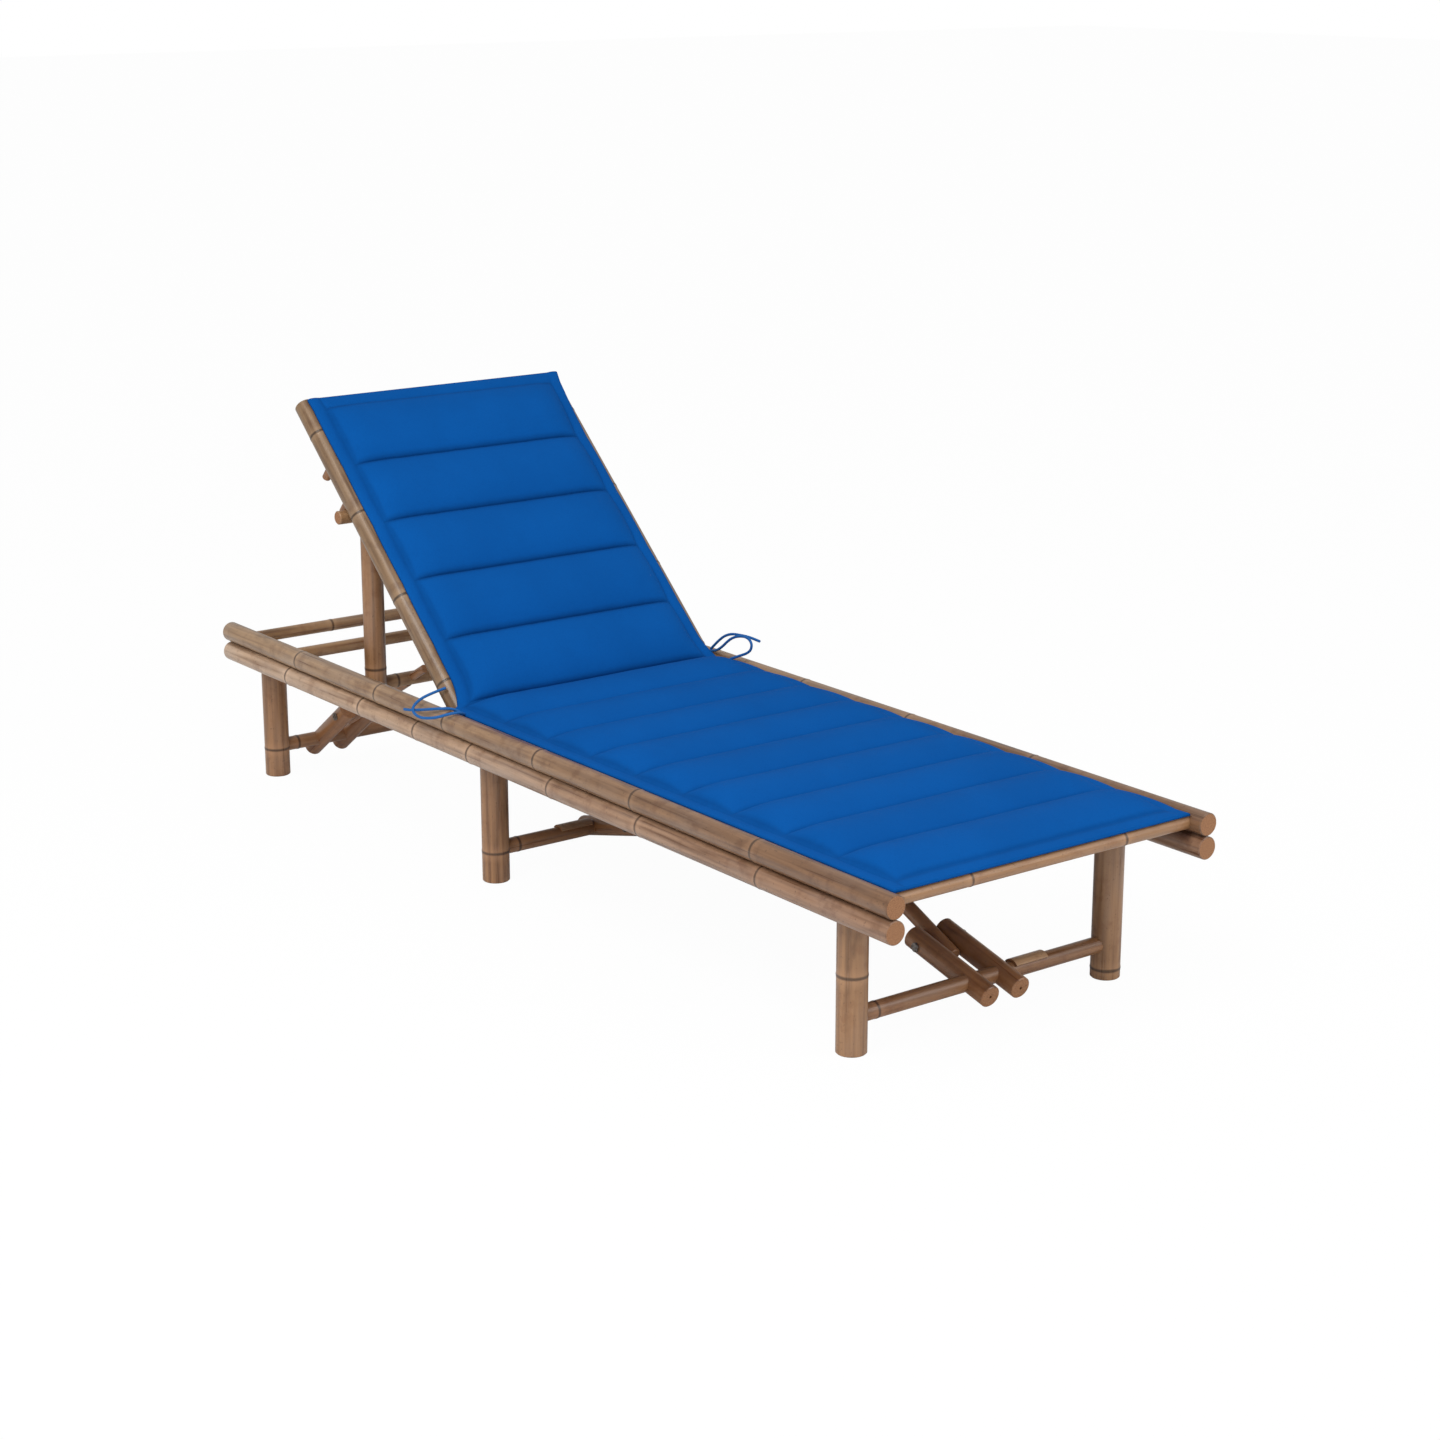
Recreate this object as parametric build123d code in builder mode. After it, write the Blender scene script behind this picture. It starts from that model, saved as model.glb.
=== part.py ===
"""Folding bamboo chaise longue with an adjustable backrest and a channelled cushion.

Millimetres. +X points to the foot end, +Y to the sitter's left, +Z up, and Z = 0 is the floor.
The origin lies on the floor under the middle of the frame.
"""

import os
from math import cos, pi, radians, sin, sqrt, tan

from build123d import *

os.makedirs("parts", exist_ok=True)

# Side rails
rail_length = 2000
rail_diameter = 37
rail_spacing = 628
rail_gap = 1.2
upper_rail_height = 283

# Cross poles of the frame
foot_bar_diameter = 22
foot_bar_inset = 32
head_bar_diameter = 23
head_bar_inset = 73
head_bar_spacing = 163
slat_diameter = 22
seat_slat_count = 15
first_slat_from_hinge = 63
last_slat_from_foot_bar = 69
tenon_depth = 17
dowel_diameter = 8
dowel_bite = 14

# Backrest
hinge_from_head = 772
backrest_angle = 42
pole_diameter = 38
pole_length = 706
pole_tail = 16
pole_side_clearance = 10
pole_node_spacing = 190
hinge_rod_diameter = 14
back_slat_count = 8
first_back_slat = 52
back_slat_spacing = 74
top_bar_diameter = 28
top_bar_from_top = 36

# Prop under the backrest and the pegs that catch its bar
catch_reach = 468
prop_bar_diameter = 25
prop_bar_end_clearance = 2.5
upright_diameter = 40
upright_pole_clearance = 3
upright_head = 14
upright_foot_below_pin = 20
peg_diameter = 16
peg_projection = 26
peg_spacing = 80
peg_bite = 7

# Leg frames
front_leg_from_foot = 157
middle_leg_from_head = 866
rear_leg_from_head = 69
leg_diameter = 48
leg_rail_clearance = 10
leg_head = 18
pivot_drop = 6.8
pivot_pin_diameter = 14
pin_head_diameter = 22
pin_head_thickness = 4
stretcher_diameter = 27
stretcher_height = 57
keeper_length = 66
keeper_thickness = 4
keeper_wrap = 105

# Folding braces
arm_diameter = 36
long_arm_slope = 14
rear_arm_slope = 36
arm_knee_reach = 112
arm_tail = 47
arm_head = 28
strut_diameter = 25
strut_tip = 38
strut_tenon_diameter = 16
long_strut_projection = 15
rear_strut_projection = 48
brace_bar_diameter = 26
brace_bar_tenon_diameter = 18
bar_pair_spacing = 57
bar_upright_gap = 2
knee_bolt_diameter = 8
bolt_head_diameter = 15
bolt_head_thickness = 2.5
pith_diameter = 5
pith_depth = 12
front_brace_offset = 5
middle_brace_offset = -12
rear_brace_offset = -130

# Bamboo
node_ridge = 0.6
node_ridge_width = 5
end_chamfer = 1.5

# Cushion
seat_cushion_width = 593
back_cushion_width = 536
cushion_thickness = 30
cushion_flange = 24
flange_thickness = 5
seam_thickness = 9
end_thickness = 6
seam_draw_in = 3
shoulder_width = 55
seat_channels = 9
seat_cushion_end = 24
fold_gap = 3
fold_setback = 10
back_channels = 5
back_cushion_from_top = 5
end_flange = 28
shoulder_fullness = 0.9
side_bulge_place = 0.35
side_bulge_fullness = 0.62
channel_steps = (0, 0.15, 0.5, 0.85)
cord_diameter = 5

# Clearances
tenon_clearance = 0.1
running_clearance = 0.05
rest_gap = 0.3
side_gap = 0.5

# Places that follow from the sizes
side_of = {"right": -1, "left": 1}
rail_y = rail_spacing / 2
rail_face = rail_y - rail_diameter / 2
lower_rail_height = upper_rail_height - rail_diameter - rail_gap
foot_x = rail_length / 2
head_x = -rail_length / 2
foot_bar_x = foot_x - foot_bar_inset
foot_bar_height = upper_rail_height - node_ridge
pivot_height = lower_rail_height - pivot_drop
hinge = Vector(head_x + hinge_from_head, 0, upper_rail_height)
tilt = radians(backrest_angle)
up_back = Vector(-cos(tilt), 0, sin(tilt))
off_back = Vector(sin(tilt), 0, cos(tilt))
pole_y = rail_face - pole_side_clearance - pole_diameter / 2
across = Vector(0, 1, 0)


def on_back(reach, y, lift=0):
    """A point of the backrest: along it from the hinge, across it, and off it to the front."""
    return hinge + up_back * reach + off_back * lift + across * y


prop_bar = on_back(catch_reach, 0, -pole_diameter / 2 - prop_bar_diameter / 2 - rest_gap)
upright_y = pole_y - pole_diameter / 2 - upright_diameter / 2 - upright_pole_clearance
leg_y = rail_face - leg_rail_clearance - leg_diameter / 2
brace_half = strut_diameter / 2 + side_gap + arm_diameter / 2
front_leg_x = foot_x - front_leg_from_foot
middle_leg_x = head_x + middle_leg_from_head
rear_leg_x = head_x + rear_leg_from_head
bar_reach = (front_leg_x - middle_leg_x - bar_pair_spacing) / 2
front_bar = Vector(front_leg_x - bar_reach, 0, pivot_height)
middle_bar = Vector(middle_leg_x + bar_reach, 0, pivot_height)
rear_bar_x = prop_bar.X - upright_diameter / 2 - bar_upright_gap - brace_bar_diameter / 2
rear_bar = Vector(rear_bar_x, 0, pivot_height)
first_slat_x = hinge.X + first_slat_from_hinge
slat_spacing = (foot_bar_x - last_slat_from_foot_bar - first_slat_x) / (seat_slat_count - 1)
seat_slat_x = [first_slat_x + slat_spacing * i for i in range(seat_slat_count)]
back_slat_reach = [first_back_slat + back_slat_spacing * i for i in range(back_slat_count)]
head_bars = {
    "head_crossbar_outer": head_x + head_bar_inset,
    "head_crossbar_inner": head_x + head_bar_inset + head_bar_spacing,
}

# Each leg frame: its place, the way it folds along X, its brace's bar and place across, the slope of
# the brace's arms, and how far its strut stands out behind the bar
leg_sets = {
    "front": (front_leg_x, -1, front_bar, front_brace_offset, long_arm_slope, long_strut_projection),
    "middle": (
        middle_leg_x,
        1,
        middle_bar,
        middle_brace_offset,
        long_arm_slope,
        long_strut_projection,
    ),
    "rear": (rear_leg_x, 1, rear_bar, rear_brace_offset, rear_arm_slope, rear_strut_projection),
}

# Node rings: distance from the head end, the pole's lower end or the floor, or the place along a
# cross pole as a share of the pole's half length
upper_rail_nodes = {
    "right": (288, 580, 812, 1097, 1374, 1685),
    "left": (176, 440, 742, 1010, 1300, 1610),
}
lower_rail_nodes = {
    "right": (248, 520, 712, 890, 1137, 1389, 1698),
    "left": (130, 402, 690, 951, 1228, 1530, 1812),
}
pole_first_node = {"right": 78, "left": 60}
upright_node = {"right": 62, "left": 140}
leg_node = {
    "front": {"right": 124, "left": 16},
    "middle": {"right": 54, "left": 92},
    "rear": {"right": 54, "left": 110},
}
foot_bar_nodes = (0.55, 1.6)
head_bar_nodes = (0.6, 1.4)
prop_bar_nodes = (0.7,)
stretcher_nodes = (0.15,)
brace_bar_nodes = (0.45,)


def save(builder, label):
    """Name a finished piece and write it."""
    builder.part.label = label
    export_step(builder.part, f"parts/{label}.step")


def pole(start, end, diameter, nodes=()):
    """Add a bamboo pole to the current part, with a ridge at each node's distance from its start."""
    start = Vector(start)
    run = Vector(end) - start
    direction = run.normalized()
    radial = Vector(1, 0, 0) if abs(direction.Y) > 0.5 else across
    radius = diameter / 2
    outline = [(0, 0), (radius - end_chamfer, 0), (radius, end_chamfer)]
    for node in nodes:
        outline.append((radius, node - node_ridge_width))
        outline.append((radius + node_ridge, node))
        outline.append((radius, node + node_ridge_width))
    outline.append((radius, run.length - end_chamfer))
    outline.append((radius - end_chamfer, run.length))
    outline.append((0, run.length))
    with BuildSketch(Plane(origin=start, x_dir=radial, z_dir=radial.cross(direction))) as profile:
        with BuildLine():
            Polyline(*outline, close=True)
        make_face()
    revolve(profile.sketch, axis=Axis(start, direction))


def bore(start, end, diameter):
    """Drill the current part from start to end."""
    start = Vector(start)
    run = Vector(end) - start
    with Locations(Plane(origin=start, z_dir=run)):
        Cylinder(
            diameter / 2,
            run.length,
            align=(Align.CENTER, Align.CENTER, Align.MIN),
            mode=Mode.SUBTRACT,
        )


def tenon_bore(x, z, side, face_y, diameter, depth=tenon_depth):
    """Drill a blind hole for a cross pole into a rail or a leg, from its inner face outwards."""
    start = (x, side * (face_y - diameter), z)
    bore(start, (x, side * (face_y + depth), z), diameter + 2 * tenon_clearance)


def cross_pole(x, z, face_y, diameter, node_shares=()):
    """Add a cross pole whose ends sit in blind holes behind the two faces."""
    reach = face_y + tenon_depth - side_gap
    pole((x, -reach, z), (x, reach, z), diameter, [face_y * share for share in node_shares])


# Where the vertical dowels that pin each lower rail to its upper rail stand
def slat_gap(index):
    return seat_slat_x[index] + slat_spacing / 2


dowel_x = [
    (head_bars["head_crossbar_outer"] + head_bars["head_crossbar_inner"]) / 2,
    (rear_bar.X + hinge.X) / 2,
    slat_gap(2),
    slat_gap(8),
    slat_gap(seat_slat_count - 1),
]
dowel_low = lower_rail_height + rail_diameter / 2 - dowel_bite
dowel_high = upper_rail_height - rail_diameter / 2 + dowel_bite


def nodes_on_rail(nodes):
    """The node rings that a rail is long enough to carry."""
    return [node for node in nodes if node < rail_length - 2 * node_ridge_width]


for side_name, side in side_of.items():
    with BuildPart() as upper_rail:
        pole(
            (head_x, side * rail_y, upper_rail_height),
            (foot_x, side * rail_y, upper_rail_height),
            rail_diameter,
            nodes_on_rail(upper_rail_nodes[side_name]),
        )
        for x in seat_slat_x:
            tenon_bore(x, upper_rail_height, side, rail_face, slat_diameter)
        for x in head_bars.values():
            tenon_bore(x, upper_rail_height, side, rail_face, head_bar_diameter)
        tenon_bore(foot_bar_x, foot_bar_height, side, rail_face, foot_bar_diameter)
        tenon_bore(hinge.X, hinge.Z, side, rail_face, hinge_rod_diameter)
        for x in dowel_x:
            low = (x, side * rail_y, upper_rail_height - rail_diameter)
            high = (x, side * rail_y, dowel_high + side_gap)
            bore(low, high, dowel_diameter + 2 * tenon_clearance)
    save(upper_rail, f"upper_rail_{side_name}")

    with BuildPart() as lower_rail:
        pole(
            (head_x, side * rail_y, lower_rail_height),
            (foot_x, side * rail_y, lower_rail_height),
            rail_diameter,
            nodes_on_rail(lower_rail_nodes[side_name]),
        )
        for leg_x, _, bar, _, _, _ in leg_sets.values():
            tenon_bore(leg_x, pivot_height, side, rail_face, pivot_pin_diameter)
            turning_bore = brace_bar_tenon_diameter + 2 * (running_clearance - tenon_clearance)
            tenon_bore(bar.X, bar.Z, side, rail_face, turning_bore)
        tenon_bore(prop_bar.X, pivot_height, side, rail_face, pivot_pin_diameter)
        for x in dowel_x:
            high = (x, side * rail_y, lower_rail_height + rail_diameter)
            low = (x, side * rail_y, dowel_low - side_gap)
            bore(high, low, dowel_diameter + 2 * tenon_clearance)
    save(lower_rail, f"lower_rail_{side_name}")

with BuildPart() as rail_dowels:
    for side in side_of.values():
        for x in dowel_x:
            with Locations((x, side * rail_y, dowel_low)):
                Cylinder(
                    dowel_diameter / 2,
                    dowel_high - dowel_low,
                    align=(Align.CENTER, Align.CENTER, Align.MIN),
                )
save(rail_dowels, "rail_dowels")

with BuildPart() as foot_crossbar:
    cross_pole(
        foot_bar_x,
        foot_bar_height,
        rail_face,
        foot_bar_diameter,
        foot_bar_nodes,
    )
save(foot_crossbar, "foot_crossbar")

for bar_name, bar_x in head_bars.items():
    with BuildPart() as head_crossbar:
        cross_pole(
            bar_x,
            upper_rail_height,
            rail_face,
            head_bar_diameter,
            head_bar_nodes,
        )
    save(head_crossbar, bar_name)

with BuildPart() as seat_slats:
    for x in seat_slat_x:
        cross_pole(x, upper_rail_height, rail_face, slat_diameter)
save(seat_slats, "seat_slats")

with BuildPart() as backrest_hinge_rod:
    cross_pole(hinge.X, hinge.Z, rail_face, hinge_rod_diameter)
save(backrest_hinge_rod, "backrest_hinge_rod")

# Headed pins in the lower rails, on which the legs turn
pin_outer = rail_face + tenon_depth - side_gap
pin_head_y = leg_y - leg_diameter / 2 - node_ridge - rest_gap
with BuildPart() as leg_pivot_pins:
    for leg_x, _, _, _, _, _ in leg_sets.values():
        for side in side_of.values():
            with Locations(Plane(origin=(leg_x, side * pin_outer, pivot_height), z_dir=(0, -side, 0))):
                Cylinder(
                    pivot_pin_diameter / 2,
                    pin_outer - pin_head_y,
                    align=(Align.CENTER, Align.CENTER, Align.MIN),
                )
            with Locations(Plane(origin=(leg_x, side * pin_head_y, pivot_height), z_dir=(0, -side, 0))):
                Cylinder(
                    pin_head_diameter / 2,
                    pin_head_thickness,
                    align=(Align.CENTER, Align.CENTER, Align.MIN),
                )
save(leg_pivot_pins, "leg_pivot_pins")

# Pins in the lower rails at the foot of the prop, which end just beside its uprights
prop_pin_inner = upright_y + upright_diameter / 2 + rest_gap
with BuildPart() as prop_pins:
    for side in side_of.values():
        pole(
            (prop_bar.X, side * pin_outer, pivot_height),
            (prop_bar.X, side * prop_pin_inner, pivot_height),
            pivot_pin_diameter,
        )
save(prop_pins, "prop_pins")

# Backrest ladder: two poles on the hinge rod, with slats, a top bar and the pegs for the prop
peg_reach = [
    catch_reach + prop_bar_diameter / 2 + peg_diameter / 2 + side_gap + peg_spacing * i
    for i in range(2)
]
pole_face = pole_y - pole_diameter / 2
top_bar_reach = pole_length - top_bar_from_top


def back_cross_pole(reach, diameter):
    """Add a cross pole of the backrest, let into both of its poles."""
    half = pole_face + tenon_depth - side_gap
    pole(on_back(reach, -half), on_back(reach, half), diameter)


for side_name, side in side_of.items():
    with BuildPart() as backrest_pole:
        pole(
            on_back(-pole_tail, side * pole_y),
            on_back(pole_length, side * pole_y),
            pole_diameter,
            [pole_first_node[side_name] + pole_node_spacing * i for i in range(4)],
        )
        for reach in back_slat_reach:
            bore(
                on_back(reach, side * (pole_face - slat_diameter)),
                on_back(reach, side * (pole_face + tenon_depth)),
                slat_diameter + 2 * tenon_clearance,
            )
        bore(
            on_back(top_bar_reach, side * (pole_face - top_bar_diameter)),
            on_back(top_bar_reach, side * (pole_face + tenon_depth)),
            top_bar_diameter + 2 * tenon_clearance,
        )
        bore(
            on_back(0, side * (pole_y - pole_diameter)),
            on_back(0, side * (pole_y + pole_diameter)),
            hinge_rod_diameter + 2 * running_clearance,
        )
        for reach in peg_reach:
            bore(
                on_back(reach, side * pole_y, -pole_diameter),
                on_back(reach, side * pole_y, peg_bite - pole_diameter / 2 + side_gap),
                peg_diameter + 2 * tenon_clearance,
            )
    save(backrest_pole, f"backrest_pole_{side_name}")

with BuildPart() as back_slats:
    for reach in back_slat_reach:
        back_cross_pole(reach, slat_diameter)
save(back_slats, "back_slats")

with BuildPart() as back_top_bar:
    back_cross_pole(top_bar_reach, top_bar_diameter)
save(back_top_bar, "back_top_bar")

with BuildPart() as catch_pegs:
    for side in side_of.values():
        for reach in peg_reach:
            pole(
                on_back(reach, side * pole_y, peg_bite - pole_diameter / 2),
                on_back(reach, side * pole_y, -pole_diameter / 2 - peg_projection),
                peg_diameter,
            )
save(catch_pegs, "catch_pegs")

# Prop: two uprights threaded on a bar whose ends lie under the backrest poles
prop_bar_half = rail_face - prop_bar_end_clearance
for side_name, side in side_of.items():
    with BuildPart() as prop_upright:
        pole(
            (prop_bar.X, side * upright_y, pivot_height - upright_foot_below_pin),
            (prop_bar.X, side * upright_y, prop_bar.Z + upright_head),
            upright_diameter,
            [upright_node[side_name]],
        )
        bore(
            (prop_bar.X, side * (upright_y - upright_diameter), prop_bar.Z),
            (prop_bar.X, side * (upright_y + upright_diameter), prop_bar.Z),
            prop_bar_diameter + 2 * tenon_clearance,
        )
    save(prop_upright, f"prop_upright_{side_name}")

with BuildPart() as prop_top_bar:
    pole(
        (prop_bar.X, -prop_bar_half, prop_bar.Z),
        (prop_bar.X, prop_bar_half, prop_bar.Z),
        prop_bar_diameter,
        [prop_bar_half * share for share in prop_bar_nodes],
    )
save(prop_top_bar, "prop_top_bar")

# Leg frames and their folding braces
leg_face = leg_y - leg_diameter / 2
for set_name, (leg_x, fold, bar, offset, arm_slope, projection) in leg_sets.items():
    for side_name, side in side_of.items():
        with BuildPart() as leg:
            pole(
                (leg_x, side * leg_y, 0),
                (leg_x, side * leg_y, pivot_height + leg_head),
                leg_diameter,
                [leg_node[set_name][side_name]],
            )
            tenon_bore(leg_x, stretcher_height, side, leg_face, stretcher_diameter)
            bore(
                (leg_x, side * (leg_y - leg_diameter), pivot_height),
                (leg_x, side * (leg_y + leg_diameter), pivot_height),
                pivot_pin_diameter + 2 * running_clearance,
            )
        save(leg, f"{set_name}_leg_{side_name}")

    with BuildPart() as stretcher:
        cross_pole(leg_x, stretcher_height, leg_face, stretcher_diameter, stretcher_nodes)
    save(stretcher, f"{set_name}_stretcher")

    slope = radians(arm_slope)
    arm_direction = Vector(fold * cos(slope), 0, sin(slope))
    stretcher_axis = Vector(leg_x, offset, stretcher_height)
    knee = stretcher_axis + arm_direction * arm_knee_reach
    for side_name, side in side_of.items():
        shift = across * (side * brace_half)
        arm_foot = stretcher_axis - arm_direction * arm_tail + shift
        arm_top = knee + arm_direction * arm_head + shift
        with BuildPart() as arm:
            pole(arm_foot, arm_top, arm_diameter)
            bore(
                stretcher_axis + shift - across * arm_diameter,
                stretcher_axis + shift + across * arm_diameter,
                stretcher_diameter + 2 * running_clearance,
            )
            bore(
                knee + shift - across * arm_diameter,
                knee + shift + across * arm_diameter,
                knee_bolt_diameter + 2 * tenon_clearance,
            )
            bore(arm_foot, arm_foot + arm_direction * pith_depth, pith_diameter)
            bore(arm_top, arm_top - arm_direction * pith_depth, pith_diameter)
        save(arm, f"{set_name}_brace_arm_{side_name}")

    # Knee bolt in two halves, each with its washer, ending clear of the strut between the arms
    with BuildPart() as knee_bolt:
        for side in side_of.values():
            shank_start = knee + across * (side * (strut_diameter / 2 + rest_gap))
            shank_length = arm_diameter + side_gap - rest_gap
            washer_start = shank_start + across * (side * shank_length)
            with Locations(Plane(origin=shank_start, z_dir=(0, side, 0))):
                Cylinder(
                    knee_bolt_diameter / 2,
                    shank_length,
                    align=(Align.CENTER, Align.CENTER, Align.MIN),
                )
            with Locations(Plane(origin=washer_start, z_dir=(0, side, 0))):
                Cylinder(
                    bolt_head_diameter / 2,
                    bolt_head_thickness,
                    align=(Align.CENTER, Align.CENTER, Align.MIN),
                )
    save(knee_bolt, f"{set_name}_knee_bolt")

    # Strut between the arms: its neck passes through the cross bar that it turns with
    bar_point = bar + across * offset
    strut_direction = (knee - bar_point).normalized()
    shoulder_at = bar_point + strut_direction * (brace_bar_diameter / 2 + rest_gap)
    neck_front = strut_direction * (brace_bar_diameter / 2 + 2 * rest_gap)
    neck_back = strut_direction * (brace_bar_diameter / 2 + projection)
    with BuildPart() as strut:
        pole(shoulder_at, knee + strut_direction * strut_tip, strut_diameter)
        pole(bar_point - neck_back, shoulder_at + strut_direction * pith_depth, strut_tenon_diameter)
        bore(
            knee - across * strut_diameter,
            knee + across * strut_diameter,
            knee_bolt_diameter + 2 * tenon_clearance,
        )
    save(strut, f"{set_name}_brace_strut")

    bar_half = rail_face - side_gap - node_ridge
    with BuildPart() as brace_bar:
        cross_pole(bar.X, bar.Z, rail_face, brace_bar_tenon_diameter)
        pole(
            (bar.X, -bar_half, bar.Z),
            (bar.X, bar_half, bar.Z),
            brace_bar_diameter,
            [bar_half * share for share in brace_bar_nodes],
        )
        bore(
            bar_point - neck_back,
            bar_point + neck_front,
            strut_tenon_diameter + 2 * tenon_clearance,
        )
    save(brace_bar, f"{set_name}_brace_bar")

# Split-bamboo keepers that lie on two of the stretchers just outside the braces
keeper_inner = stretcher_diameter / 2 + tenon_clearance
keeper_outer = keeper_inner + keeper_thickness
for set_name, side in {"front": 1, "middle": -1}.items():
    leg_x = leg_sets[set_name][0]
    offset = leg_sets[set_name][3]
    arm_face = brace_half + arm_diameter / 2 + bolt_head_thickness + side_gap
    keeper_start = (leg_x, offset + side * arm_face, stretcher_height)
    with BuildPart() as keeper:
        with BuildSketch(Plane(origin=keeper_start, x_dir=(1, 0, 0), z_dir=(0, side, 0))):
            with BuildLine():
                first_angle = -90 * side - keeper_wrap / 2
                inner = CenterArc((0, 0), keeper_inner, first_angle, keeper_wrap)
                outer = CenterArc((0, 0), keeper_outer, first_angle, keeper_wrap)
                Line(inner @ 0, outer @ 0)
                Line(inner @ 1, outer @ 1)
            make_face()
        extrude(amount=keeper_length)
    save(keeper, f"{set_name}_keeper")


# Cushion: sewn channels across it, with a flat border that is drawn in at each seam
def cushion_section(origin, x_dir, direction, half_width, height):
    """One cross section of the cushion, flat below and crowned above."""
    inner = half_width - cushion_flange
    shoulder = inner - shoulder_width
    border = flange_thickness
    shoulder_height = border + (height - border) * shoulder_fullness
    middle = inner - shoulder_width * side_bulge_place
    middle_height = border + (height - border) * side_bulge_fullness
    with BuildSketch(Plane(origin=origin, x_dir=x_dir, z_dir=direction)) as section:
        with BuildLine():
            Polyline(
                (-inner, border),
                (-half_width, border),
                (-half_width, 0),
                (half_width, 0),
                (half_width, border),
                (inner, border),
            )
            ThreePointArc((inner, border), (middle, middle_height), (shoulder, shoulder_height))
            ThreePointArc((shoulder, shoulder_height), (0, height), (-shoulder, shoulder_height))
            ThreePointArc((-shoulder, shoulder_height), (-middle, middle_height), (-inner, border))
        make_face()
    return section.sketch


def cushion_stations(channels, length):
    """Distance along a cushion and fullness there, from a seam through each channel to the end."""
    channel = (length - end_flange) / channels
    for i in range(channels):
        for step in channel_steps:
            yield (i + step) * channel, sqrt(sin(pi * step))
    yield channels * channel, 0


def cushion(label, start, x_dir, direction, channels, length, width):
    """A channelled cushion from its fold to the flat border at its far end."""
    sections = []
    for distance, fullness in cushion_stations(channels, length):
        half_width = width / 2 - seam_draw_in * (1 - fullness)
        height = seam_thickness + (cushion_thickness - seam_thickness) * fullness
        place = start + direction * distance
        sections.append(cushion_section(place, x_dir, direction, half_width, height))
    place = start + direction * length
    sections.append(cushion_section(place, x_dir, direction, width / 2, end_thickness))
    with BuildPart() as pad:
        loft(sections, ruled=True)
    save(pad, label)


cushion_base = upper_rail_height + slat_diameter / 2 + rest_gap
pole_lift = pole_diameter / 2 + node_ridge + rest_gap
fold_x = hinge.X + off_back.X * pole_lift
seat_start = Vector(fold_x + fold_setback, 0, cushion_base)
seat_length = foot_x - seat_cushion_end - seat_start.X
cushion(
    "seat_cushion",
    seat_start,
    (0, 1, 0),
    Vector(1, 0, 0),
    seat_channels,
    seat_length,
    seat_cushion_width,
)

back_start = on_back(fold_gap, 0, pole_lift)
back_length = pole_length - back_cushion_from_top - fold_gap
cushion(
    "back_cushion",
    back_start,
    (0, -1, 0),
    up_back,
    back_channels,
    back_length,
    back_cushion_width,
)

# Ties of the cushion: cord of straight runs and arcs, from the fold over the rails
cord_routes = {
    "tie_right_tail": [
        (-188, -295.7, 299.2),
        (-190, -305, 305.5),
        (-200, -324, 307),
        (-230, -341, 301),
        (-265, -347, 293),
        (-290, -345, 289),
    ],
    "tie_right_loop": [
        (-168, -297.5, 299.2),
        (-161, -307, 306),
        (-163, -328, 307),
        (-184, -350, 297),
        (-222, -358, 291),
        (-250, -355, 300),
        (-263, -331, 310),
        (-262, -305, 318),
        (-248, -285, 327),
    ],
    "tie_left_loop": [
        (-186, 292, 301.7),
        (-163, 296, 312),
        (-146, 299, 319),
        (-134, 300, 328),
        (-131, 300, 340),
        (-140, 300, 348.5),
        (-156, 300, 350),
        (-182, 300, 344),
        (-202, 300, 333),
        (-222, 300, 316),
        (-242, 300, 304),
        (-262, 299.5, 300.5),
    ],
    "tie_left_tail": [
        (-262, 304, 303.6),
        (-236, 306, 329),
        (-206, 306.5, 344),
        (-173, 307, 347.5),
        (-143, 307, 349),
        (-117, 307, 347),
    ],
}
fillet_share = 0.45

for cord_name, points in cord_routes.items():
    corners = [Vector(point) for point in points]
    radii = []
    for before, corner, after in zip(corners, corners[1:], corners[2:]):
        turn = radians((corner - before).get_angle(after - corner))
        shorter = min((corner - before).length, (after - corner).length)
        radii.append(fillet_share * shorter / tan(turn / 2))
    with BuildPart() as cord:
        with BuildLine():
            run = FilletPolyline(*points, radius=radii)
        with BuildSketch(Plane(origin=points[0], z_dir=run % 0)):
            Circle(cord_diameter / 2)
        sweep()
    save(cord, cord_name)
    share = cord.part.volume / (pi * cord_diameter**2 / 4 * run.length)
    bend = min(radii)
    print(f"{cord_name}: length {run.length:.0f}, least bend radius {bend:.1f}, volume {share:.3f}")
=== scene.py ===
"""Bamboo chaise longue with a blue channelled cushion: materials, cushion, ties, light and camera."""

import math

import bpy
import numpy as np
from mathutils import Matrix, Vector, noise


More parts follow.
